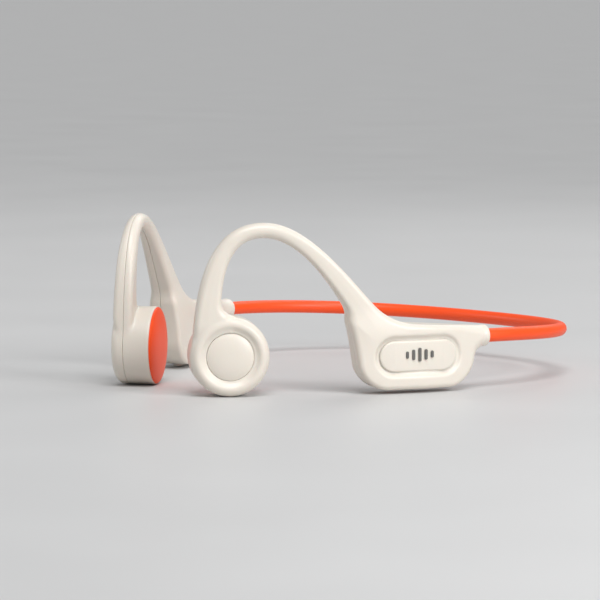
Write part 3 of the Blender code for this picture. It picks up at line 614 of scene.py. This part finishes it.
volume = {
    "pitch": 11.0,
    "length": 7.5,
    "width": 2.8,
    "w": -0.65,
    "proud": 0.9,
    "room": 0.22,
    "round": 0.55,
    "slotTop": 5.0,
    "slotEdge": 0.4,
    "facing": 0.7,
    "flange": 0.7,
    "flangeLow": 2.6,
    "flangeHigh": 3.2,
}
contacts = {
    "height": podTop - 7.9,
    "pitch": 5.0,
    "pinRadius": 0.9,
    "lightReach": 7.5,
    "lightRadius": 0.8,
    "portStation": pod["front"] + 14.0,
    "portHeight": pod["bottom"] + 8.0,
    "portRadius": 0.5,
    "room": 0.12,
    "holeDepth": 3.0,
    "holeEdge": 0.3,
    "pinLength": 2.2,
    "lightLength": 2.6,
    "bevel": 0.22,
    "dome": 0.03,
}
volumeStations = {
    "up": badge["station"] - volume["pitch"] / 2,
    "down": badge["station"] + volume["pitch"] / 2,
}


# The right side's openings: key slots under the pod, and round holes in its inner face.
def rightCuts(field, w, s, z, half):
    for station in volumeStations.values():
        run = (volume["length"] - volume["width"]) / 2
        slot = pillDistance(s - station, w - volume["w"], run, volume["width"] / 2 + volume["room"])
        field = softCut(field, -np.maximum(slot, z - volume["slotTop"]), volume["slotEdge"])
    if half == "inner":
        holes = [
            (badge["station"] - contacts["pitch"] / 2, contacts["height"], contacts["pinRadius"]),
            (badge["station"] + contacts["pitch"] / 2, contacts["height"], contacts["pinRadius"]),
            (badge["station"] + contacts["lightReach"], contacts["height"], contacts["lightRadius"]),
            (contacts["portStation"], contacts["portHeight"], contacts["portRadius"]),
        ]
        for station, height, radius in holes:
            hole = np.hypot(s - station, z - height) - radius - contacts["room"]
            field = softCut(field, -np.maximum(hole, w + contacts["holeDepth"]), contacts["holeEdge"])
    return field


# The grid that the mouldings are worked out on is finer in w near the seam between the halves.
shell = {
    "step": 0.3,
    "fine": 0.1,
    "fineFrom": -0.1,
    "fineTo": 0.7,
    "outer": 5.3,
    "inner": 8.7,
    "front": -12.9,
    "past": 0.9,
    "low": -0.7,
    "high": 52.9,
    "seam": 0.01,
    "seamEdge": 0.14,
}
step = shell["step"] * 1.0
sAxis = np.arange(shell["front"], plan["reach"] + shell["past"], step)
zAxis = np.arange(shell["low"], shell["high"], step)
sGrid, zGrid = np.meshgrid(sAxis, zAxis, indexing="ij")
flatMaps = armMaps(sGrid, zGrid)
for half in ("outer", "inner"):
    near = np.arange(shell["fineFrom"], shell["fineTo"], shell["fine"])
    far = np.arange(shell["fineTo"], shell[half], step)
    wAxis = np.concatenate([near, far])
    wAxis = wAxis if half == "outer" else -wAxis[::-1]
    w = wAxis[:, None, None]
    whole = armField(w, sGrid[None], zGrid[None], flatMaps)
    seam = (shell["seam"] - w) if half == "outer" else (shell["seam"] + w)
    for side in ("left", "right"):
        field = whole if side == "left" else rightCuts(whole, w, sGrid[None], zGrid[None], half)
        field = roundCorner(field, seam + 0 * field, shell["seamEdge"])
        points, quads = surfaceNet(field, (wAxis, sAxis, zAxis))
        name = side + "_" + half + "_moulding"
        bent = bendArm(points[:, 0], points[:, 1], points[:, 2])
        piece = makePiece(name, bent, [quads], side)
        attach(piece, side + "_arm")
        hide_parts(side + "_" + half + "_shell")
        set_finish(piece, "cream_shell")
        print("moulded", name, len(quads) * 2, "triangles")


# A turned piece: a profile of (radius, w) points carried round an axis that points outward, at a station
# and a height. Its two ends lie on the axis.
def turnedPiece(name, profile, side, station=0.0, height=disc["radius"], around=96):
    x, y, heading = planOf(np.array(station))
    profile = np.array(profile, float)
    angle = np.linspace(0, 2 * math.pi, around, endpoint=False)[:, None]
    radius = profile[None, 1:-1, 0]
    w = np.concatenate([(profile[None, 1:-1, 1] + 0 * angle).ravel(), profile[[0, -1], 1]])
    along = np.concatenate([(radius * np.cos(angle)).ravel(), [0, 0]])
    up = np.concatenate([(radius * np.sin(angle)).ravel(), [0, 0]])
    points = np.stack(
        [
            x + w * math.cos(heading) + along * math.sin(heading),
            y - w * math.sin(heading) + along * math.cos(heading),
            height + up,
        ],
        axis=1,
    )
    count = len(profile) - 2
    ring = np.arange(around)[:, None] * count
    after = np.roll(ring, -1, axis=0)
    k = np.arange(count - 1)[None]
    quads = np.stack([ring + k, ring + k + 1, after + k + 1, after + k], axis=-1).reshape(-1, 4)
    ends = np.array([around * count, around * count + 1])
    first = np.stack([ends[0] + 0 * ring[:, 0], ring[:, 0], after[:, 0]], axis=1)
    last = np.stack([ends[1] + 0 * ring[:, 0], after[:, 0] + count - 1, ring[:, 0] + count - 1], axis=1)
    return makePiece(name, points * mm, [quads, np.concatenate([first, last])], side)


# A quarter round from one (radius, w) point to another, about the corner's inner centre.
def quarter(centreRadius, centreW, size, start, end, steps=7):
    turn = np.radians(np.linspace(start, end, steps))
    return [(centreRadius + size * math.cos(t), centreW + size * math.sin(t)) for t in turn]


cap = {
    "radius": 7.11,
    "rim": 2.9,
    "dome": 1.25,
    "flatness": 2.4,
    "shoulder": 0.75,
    "edge": 0.16,
    "skirt": 1.32,
    "chamfer": 0.2,
}


# The cap's dome falls from its apex as a power of the radius, so its middle is nearly flat.
def capProfile():
    lip = cap["radius"] - cap["edge"]
    radius = np.linspace(0, lip, 26)
    fall = (radius / cap["radius"]) ** cap["flatness"]
    top = cap["rim"] + cap["dome"] * (1 - fall) ** cap["shoulder"]
    profile = list(zip(radius, top))
    low = top[-1] - cap["edge"]
    profile += quarter(lip, low, cap["edge"], 80, 0)
    under = cap["skirt"] - cap["chamfer"]
    profile += [(cap["radius"], cap["skirt"]), (cap["radius"] - cap["chamfer"], under), (0, under)]
    return profile[::-1]


pad = {"radius": 11.82, "back": -8.12, "face": -9.7, "fullness": 3.2, "roundness": 0.55, "lip": 0.02}


# The pad's face is a superellipse: level in the middle, and turned over at the rim.
def padProfile():
    share = np.sin(np.linspace(0, math.pi / 2, 34))
    depth = pad["back"] - pad["lip"] - pad["face"]
    face = pad["back"] - pad["lip"] - depth * (1 - share ** pad["fullness"]) ** pad["roundness"]
    profile = list(zip(share * pad["radius"], face))
    profile += [(pad["radius"] - pad["lip"], pad["back"]), (0, pad["back"])]
    return profile


for side in ("left", "right"):
    pressed = "left_multifunction_button" if side == "left" else "right_disc_cap"
    piece = turnedPiece(pressed + "_dome", capProfile(), side)
    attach(piece, "multifunction_button" if side == "left" else "right_arm")
    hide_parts(pressed)
    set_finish(piece, "cream_shell")
    piece = turnedPiece(side + "_soft_pad", padProfile(), side)
    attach(piece, side + "_arm")
    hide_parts(side + "_contact_pad")
    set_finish(piece, "orange_silicone")
print("caps and pads turned")


# A pill with a rounded rim: rings of (inset, level) pairs carried round its outline, and closed along its
# spine. stand maps (along, across, level) arrays to world points.
def pillPiece(name, run, radius, rings, stand, side, around=56):
    half = around // 2
    turn = np.linspace(-math.pi / 2, math.pi / 2, half)
    cosine = np.concatenate([np.cos(turn), -np.cos(turn)])
    sine = np.concatenate([np.sin(turn), -np.sin(turn)])
    shift = np.concatenate([np.full(half, run), np.full(half, -run)])
    rings = np.array(rings, float)
    size = radius - rings[:, 0][:, None]
    along = shift + size * cosine
    across = size * sine
    level = rings[:, 1][:, None] + 0 * along
    points = stand(along.ravel(), across.ravel(), level.ravel())
    count = len(cosine)
    ring = np.arange(len(rings) - 1)[:, None] * count
    k = np.arange(count)[None]
    after = (k + 1) % count
    corner = [ring + k, ring + after, ring + count + after, ring + count + k]
    quads = np.stack(corner, axis=-1).reshape(-1, 4)
    piece = makePiece(name, points, [quads], side)
    return closeSeams(piece)


# Merges points that coincide, such as the two sides of a spine.
def closeSeams(piece):
    shape = bmesh.new()
    shape.from_mesh(piece.data)
    bmesh.ops.remove_doubles(shape, verts=shape.verts, dist=0.002 * mm)
    shape.to_mesh(piece.data)
    shape.free()
    piece.data.shade_smooth()
    return piece


plate = {
    "top": 4.6,
    "under": 3.95,
    "edge": 0.6,
    "crown": 0.12,
    "footInset": 0.5,
    "sideInset": 0.12,
    "foot": 0.1,
}


def plateStand(along, across, level):
    s = badge["station"] + along
    return bendArm(level * podScale(s), s, badge["height"] + across)


def plateRings():
    radius = badge["tall"] / 2 - badge["groove"]
    rings = [(radius, plate["under"]), (plate["footInset"], plate["under"])]
    rings += [(plate["sideInset"], plate["under"] + plate["foot"])]
    turn = np.radians(np.linspace(0, 90, 7))
    low = plate["top"] - plate["crown"] - plate["edge"]
    rings += [(plate["edge"] * (1 - math.cos(t)), low + plate["edge"] * math.sin(t)) for t in turn]
    inset = np.linspace(plate["edge"], radius, 9)[1:]
    span = radius - plate["edge"]
    rings += [(i, plate["top"] - plate["crown"] * ((radius - i) / span) ** 2) for i in inset]
    return rings


mark = {
    "bars": (1.3, 2.3, 3.3, 2.3, 1.3),
    "pitch": 2.0,
    "width": 0.85,
    "raise": 0.04,
    "sink": 0.4,
    "lift": 0.4,
    "wall": 0.02,
    "bevel": 0.03,
}


# Where a level bar stands: upright on the plate, offset along it from the badge's middle.
def barStand(offset):
    def stand(along, across, level):
        s = badge["station"] + offset - across
        return bendArm(level * podScale(s), s, badge["height"] + mark["lift"] + along)

    return stand


for side in ("left", "right"):
    run = (badge["length"] - badge["tall"]) / 2
    inner = badge["tall"] / 2 - badge["groove"]
    piece = pillPiece(side + "_badge_face", run, inner, plateRings(), plateStand, side)
    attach(piece, side + "_arm")
    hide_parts(side + "_badge_plate")
    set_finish(piece, "cream_shell")
    for number, tall in enumerate(mark["bars"]):
        offset = (number - 2) * mark["pitch"]
        radius = mark["width"] / 2
        top = plate["top"] + mark["raise"]
        low = top - mark["sink"]
        rings = [(radius, low), (0, low), (0, top - mark["wall"]), (mark["bevel"], top), (radius, top)]
        stand = barStand(offset)
        bar = pillPiece(f"{side}_level_bar_{number}", tall / 2, radius, rings, stand, side, around=24)
        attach(bar, side + "_arm")
        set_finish(bar, "graphite_plastic")
print("badges set")


band = {
    "radius": 2.1,
    "bore": 1.55,
    "backHeight": 13.0,
    "exitPull": 18.0,
    "backPull": 60.0,
    "gap": 0.12,
    "edge": 0.2,
    "sides": 40,
    "flexReach": 42.0,
}


# The band's centre line from the right neck to the left one: a cubic curve each side of the back.
# Outward is level and square to it.
def bandLine(count, gap):
    x, y, heading = planOf(np.array(plan["reach"]))
    start = np.array([x, y, neck["height"]])
    ahead = np.array([math.sin(heading), math.cos(heading), 0])
    back = np.array([0, overallLength / 2 - band["radius"], band["backHeight"]])
    pull = np.array([band["backPull"], 0, 0])
    a, b, c, d = start + ahead * gap, start + ahead * band["exitPull"], back + pull, back
    t = np.linspace(0, 1, count)[:, None]
    line = a * (1 - t) ** 3 + 3 * b * t * (1 - t) ** 2 + 3 * c * t * t * (1 - t) + d * t**3
    other = line[:-1] * [-1, 1, 1]
    return np.concatenate([other, line[::-1]])


def lineFrames(line):
    tangent = np.gradient(line, axis=0)
    tangent /= np.linalg.norm(tangent, axis=1)[:, None]
    outward = np.cross(tangent, [0, 0, 1.0])
    outward /= np.linalg.norm(outward, axis=1)[:, None]
    return outward, np.cross(outward, tangent)


# A tube: circles of the given radii carried along a line, shifted outward by an offset. Its frames come
# from the line itself, or are given where the line repeats its end points.
def tubePoints(line, radii, sides, offset=0.0, frames=None):
    outward, upward = frames or lineFrames(line)
    turn = np.linspace(0, 2 * math.pi, sides, endpoint=False)
    radii = np.broadcast_to(radii, len(line))[:, None, None]
    ring = np.cos(turn)[None, :, None] * outward[:, None] + np.sin(turn)[None, :, None] * upward[:, None]
    return (line + outward * offset)[:, None] + radii * ring


# The quads between rings of points. Closed joins the last ring to the first, for a sleeve with both walls.
def ringQuads(rings, sides, closed):
    ring = np.arange(rings if closed else rings - 1)[:, None] * sides
    after = (ring + sides) % (rings * sides)
    k = np.arange(sides)[None]
    turn = (k + 1) % sides
    return np.stack([ring + k, ring + turn, after + turn, after + k], axis=-1).reshape(-1, 4)


def flexPiece(piece):
    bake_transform(piece)


line = bandLine(110, band["gap"])
line = np.concatenate([line[:1], line, line[-1:]])
line[1] += (line[2] - line[1]) * band["edge"] / np.linalg.norm(line[2] - line[1])
line[-2] += (line[-3] - line[-2]) * band["edge"] / np.linalg.norm(line[-3] - line[-2])
outer = np.full(len(line), band["radius"])
outer[[0, -1]] -= band["edge"]
walls = [tubePoints(line, outer, band["sides"]), tubePoints(line, band["bore"], band["sides"])[::-1]]
points = np.concatenate(walls)
quads = ringQuads(len(points), band["sides"], True)
sleeve = makePiece("neckband_sleeve", points.reshape(-1, 3) * mm, [quads[:, ::-1]])
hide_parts("left_band_sleeve", "right_band_sleeve")
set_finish(sleeve, "orange_silicone")
flexPiece(sleeve)
print("neckband drawn")

cores = {"wire": (0.55, 0.4, "titanium_wire"), "cable": (-0.55, 0.4, "cable_jacket")}
lead = {"gap": 0.3, "depth": 5.6, "points": 4, "pitch": 1.25, "tip": 0.02, "sides": 12}
for name, (offset, radius, slotName) in cores.items():
    line = bandLine(90, lead["gap"])
    stations = plan["reach"] - lead["depth"] + np.arange(lead["points"]) * lead["pitch"]
    x, y, heading = planOf(stations)
    inside = np.stack([x, y, neck["height"] + 0 * x], axis=1)
    line = np.concatenate([inside * [-1, 1, 1], line, inside[::-1]])
    radii = np.full(len(line), radius)
    line = np.concatenate([line[:1], line, line[-1:]])
    radii = np.concatenate([[lead["tip"]], radii, [lead["tip"]]])
    before = line[1:2] - (line[2] - line[1])
    after = line[-2:-1] + (line[-2] - line[-3])
    frames = lineFrames(np.concatenate([before, line[1:-1], after]))
    sides = lead["sides"]
    points = tubePoints(line, radii, sides, offset, frames)
    quads = ringQuads(len(points), sides, False)
    ends = np.stack([np.arange(sides)[::-1], (len(points) - 1) * sides + np.arange(sides)])
    core = makePiece("neckband_" + name, points.reshape(-1, 3) * mm, [quads[:, ::-1], ends[:, ::-1]])
    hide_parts("left_band_" + name, "right_band_" + name)
    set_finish(core, slotName)
    flexPiece(core)



# Where a volume key stands: flat under the pod, square to the sheet at its station.
def keyStand(station):
    def stand(along, across, level):
        x, y, heading = planOf(np.array(station))
        w = volume["w"] - across
        place = [x + w * math.cos(heading) + along * math.sin(heading)]
        place += [y - w * math.sin(heading) + along * math.cos(heading), level]
        return np.stack(place, axis=1) * mm

    return stand


# Volume keys, charging pins and the light pipe of the right pod.
for name, station in volumeStations.items():
    low = pod["bottom"] - volume["proud"]
    radius = volume["width"] / 2
    turn = np.radians(np.linspace(90, 0, 6))
    edge = volume["round"]
    rings = [(radius, low), (radius * volume["facing"], low)]
    rings += [(edge * (1 - math.cos(t)), low + edge * (1 - math.sin(t))) for t in turn]
    rings += [(0, volume["flangeLow"]), (-volume["flange"], volume["flangeLow"])]
    rings += [(-volume["flange"], volume["flangeHigh"]), (radius, volume["flangeHigh"])]
    run = (volume["length"] - volume["width"]) / 2
    stand = keyStand(station)
    key = pillPiece(f"right_volume_{name}_key", run, radius, rings[::-1], stand, "right", around=40)
    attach(key, f"volume_{name}_button")
    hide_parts(f"right_volume_{name}_button")
    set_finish(key, "cream_shell")
pins = {
    "charge_pin_front": (badge["station"] - contacts["pitch"] / 2, contacts["pinRadius"], "gold_contact"),
    "charge_pin_rear": (badge["station"] + contacts["pitch"] / 2, contacts["pinRadius"], "gold_contact"),
    "light_pipe": (badge["station"] + contacts["lightReach"], contacts["lightRadius"], "light_guide"),
}
for name, (station, radius, slotName) in pins.items():
    length = contacts["pinLength"] if "pin" in name else contacts["lightLength"]
    face = -pod["inDepth"] * float(podScale(np.array(station)))
    bevel = contacts["bevel"]
    profile = [(0, face), (radius - bevel, face + contacts["dome"])]
    profile += quarter(radius - bevel, face + contacts["dome"] + bevel, bevel, -90, 0, 5)[1:]
    profile += [(radius, face + length), (0, face + length)]
    pin = turnedPiece(f"right_{name}_tip", profile, "right", station, contacts["height"], 32)
    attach(pin, "right_arm")
    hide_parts("right_" + name)
    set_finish(pin, slotName)
print("keys and contacts set")


# Finishes. Lengths in a pattern are per metre: a scale of 1000 makes patches of about a millimetre.
def mouldedLook(name, paint):
    look = Look(name)
    place = look.place()
    drift = look.noise(place, paint["drift"], 2.0)
    grain = look.noise(place, paint["grain"], 3.0)
    speck = look.noise(place, paint["grain"] * 0.31, 1.0)
    shade = look.mix(drift * 0.8 + speck * 0.2, paint["deep"], paint["pale"])
    rough = paint["rough"] + 0.10 * (drift - 0.5) + 0.08 * (grain - 0.5)
    skin = look.bump(grain + 0.5 * speck, paint["relief"])
    look.feed(Base_Color=shade, Roughness=rough, Normal=skin)
    look.feed(Subsurface_Weight=paint["glow"], Subsurface_Scale=0.002)
    look.feed(Coat_Weight=paint["coat"], Coat_Roughness=0.35)
    return look.material


def metalLook(name, metal):
    look = Look(name)
    place = look.place(metal["stretch"])
    line = look.noise(place, metal["grain"], 3.0)
    stain = look.noise(look.place(), 180.0, 2.0)
    shade = look.mix(stain, metal["deep"], metal["pale"])
    rough = metal["rough"] + 0.18 * (line - 0.5) + 0.10 * (stain - 0.5)
    look.feed(Base_Color=shade, Roughness=rough, Normal=look.bump(line, metal["relief"]))
    look.feed(Metallic=1.0)
    return look.material


paints = {
    "cream_shell": {
        "deep": (0.715, 0.655, 0.575, 1),
        "pale": (0.775, 0.718, 0.64, 1),
        "drift": 45.0,
        "grain": 5200.0,
        "rough": 0.38,
        "relief": 0.000006,
        "glow": 0.06,
        "coat": 0.2,
    },
    "orange_silicone": {
        "deep": (0.92, 0.066, 0.004, 1),
        "pale": (0.99, 0.092, 0.006, 1),
        "drift": 60.0,
        "grain": 4200.0,
        "rough": 0.44,
        "relief": 0.000008,
        "glow": 0.04,
        "coat": 0.0,
    },
    "graphite_plastic": {
        "deep": (0.10, 0.096, 0.09, 1),
        "pale": (0.145, 0.14, 0.13, 1),
        "drift": 90.0,
        "grain": 4800.0,
        "rough": 0.5,
        "relief": 0.000008,
        "glow": 0.0,
        "coat": 0.0,
    },
    "cable_jacket": {
        "deep": (0.03, 0.03, 0.032, 1),
        "pale": (0.055, 0.055, 0.058, 1),
        "drift": 120.0,
        "grain": 3600.0,
        "rough": 0.48,
        "relief": 0.00001,
        "glow": 0.0,
        "coat": 0.0,
    },
}
metals = {
    "stainless": {
        "deep": (0.50, 0.51, 0.53, 1),
        "pale": (0.62, 0.63, 0.65, 1),
        "stretch": (1, 1, 0.05),
        "grain": 2600.0,
        "rough": 0.3,
        "relief": 0.000006,
    },
    "nickel_magnet": {
        "deep": (0.62, 0.60, 0.56, 1),
        "pale": (0.74, 0.72, 0.68, 1),
        "stretch": (1, 1, 1),
        "grain": 900.0,
        "rough": 0.2,
        "relief": 0.000003,
    },
    "gold_contact": {
        "deep": (0.83, 0.58, 0.22, 1),
        "pale": (0.95, 0.72, 0.34, 1),
        "stretch": (1, 1, 1),
        "grain": 1800.0,
        "rough": 0.22,
        "relief": 0.000004,
    },
    "titanium_wire": {
        "deep": (0.36, 0.35, 0.34, 1),
        "pale": (0.48, 0.47, 0.45, 1),
        "stretch": (0.1, 0.1, 1),
        "grain": 2400.0,
        "rough": 0.34,
        "relief": 0.000006,
    },
    "radio_shield": {
        "deep": (0.55, 0.56, 0.58, 1),
        "pale": (0.68, 0.69, 0.70, 1),
        "stretch": (1, 1, 0.08),
        "grain": 2200.0,
        "rough": 0.28,
        "relief": 0.000004,
    },
}
finishes = {name: mouldedLook(name, paint) for name, paint in paints.items()}
finishes.update({name: metalLook(name, metal) for name, metal in metals.items()})


# Fine copper turns: rings round the coil as a wave along its axis, seen as bump and a change of shade.
def windingLook():
    look = Look("copper_winding")
    sockets = {"Vector": look.place(), "Scale": 1400.0}
    turns = look.node("ShaderNodeTexWave", {"bands_direction": "Z"}, sockets)
    age = look.noise(look.place(), 300.0)
    shade = look.mix(turns * 0.7 + age * 0.3, (0.42, 0.15, 0.06, 1), (0.80, 0.36, 0.17, 1))
    look.feed(Base_Color=shade, Roughness=0.3 + 0.15 * age, Normal=look.bump(turns, 0.00003))
    look.feed(Metallic=1.0)
    return look.material


# Green board: darker tracks along the joints of a fine brick pattern, under a dust of flux.
def boardLook():
    look = Look("circuit_board")
    tracks = look.node("ShaderNodeTexBrick", {}, {"Vector": look.place(), "Scale": 900.0}, 1)
    dust = look.noise(look.place(), 800.0)
    shade = look.mix(tracks, (0.02, 0.20, 0.07, 1), (0.008, 0.09, 0.035, 1))
    look.feed(Base_Color=shade, Roughness=0.35 + 0.2 * dust, Normal=look.bump(tracks, 0.00003))
    return look.material


# Crinkled foil of the pouch cell.
def foilLook():
    look = Look("battery_foil")
    cells = {"feature": "DISTANCE_TO_EDGE"}
    creases = look.node("ShaderNodeTexVoronoi", cells, {"Vector": look.place(), "Scale": 420.0})
    haze = look.noise(look.place(), 160.0)
    shade = look.mix(haze, (0.52, 0.54, 0.57, 1), (0.68, 0.70, 0.73, 1))
    look.feed(Base_Color=shade, Roughness=0.26 + 0.2 * haze, Normal=look.bump(creases, 0.00004))
    look.feed(Metallic=0.9)
    return look.material


def lightGuideLook():
    look = Look("light_guide")
    haze = look.noise(look.place(), 700.0)
    shade = look.mix(haze, (0.80, 0.82, 0.84, 1), (0.90, 0.91, 0.93, 1))
    look.feed(Base_Color=shade, Roughness=0.1 + 0.1 * haze, Normal=look.bump(haze, 0.00001))
    look.feed(Transmission_Weight=0.5)
    return look.material


finishes["copper_winding"] = windingLook()
finishes["circuit_board"] = boardLook()
finishes["battery_foil"] = foilLook()
finishes["light_guide"] = lightGuideLook()

slotOf = {part["node"]: part["material_slot"] for part in frame["record"]["subparts"]}
for name, node in cadNodes.items():
    slotName = slotOf[name]
    node.data.materials.clear()
    node.data.materials.append(finishes[slotName])
for piece in bpy.data.objects:
    if piece.type == "MESH" and "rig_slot" in piece:
        piece.data.materials.clear()
        piece.data.materials.append(finishes[piece["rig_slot"]])
print("finishes applied")

# Floor: a pale round, wide enough to reach past the top of the view.
ground = {"radius": 30, "sides": 96, "drop": 0.0001, "drift": 14.0, "rough": 0.42}
ground["shades"] = [(0.56, 0.56, 0.56, 1), (0.60, 0.60, 0.60, 1)]
turn = np.linspace(0, 2 * math.pi, ground["sides"], endpoint=False)
rim = [ground["radius"] * np.cos(turn), ground["radius"] * np.sin(turn), 0 * turn - ground["drop"]]
floor = makePiece("floor", np.stack(rim, axis=1), [np.arange(ground["sides"])[None]])
floorLook = Look("pale_floor")
floorHaze = floorLook.noise(floorLook.place(), ground["drift"])
floorShade = floorLook.mix(floorHaze, *ground["shades"])
floorLook.feed(Base_Color=floorShade, Roughness=ground["rough"] + 0.1 * floorHaze)
floor.data.materials.append(floorLook.material)
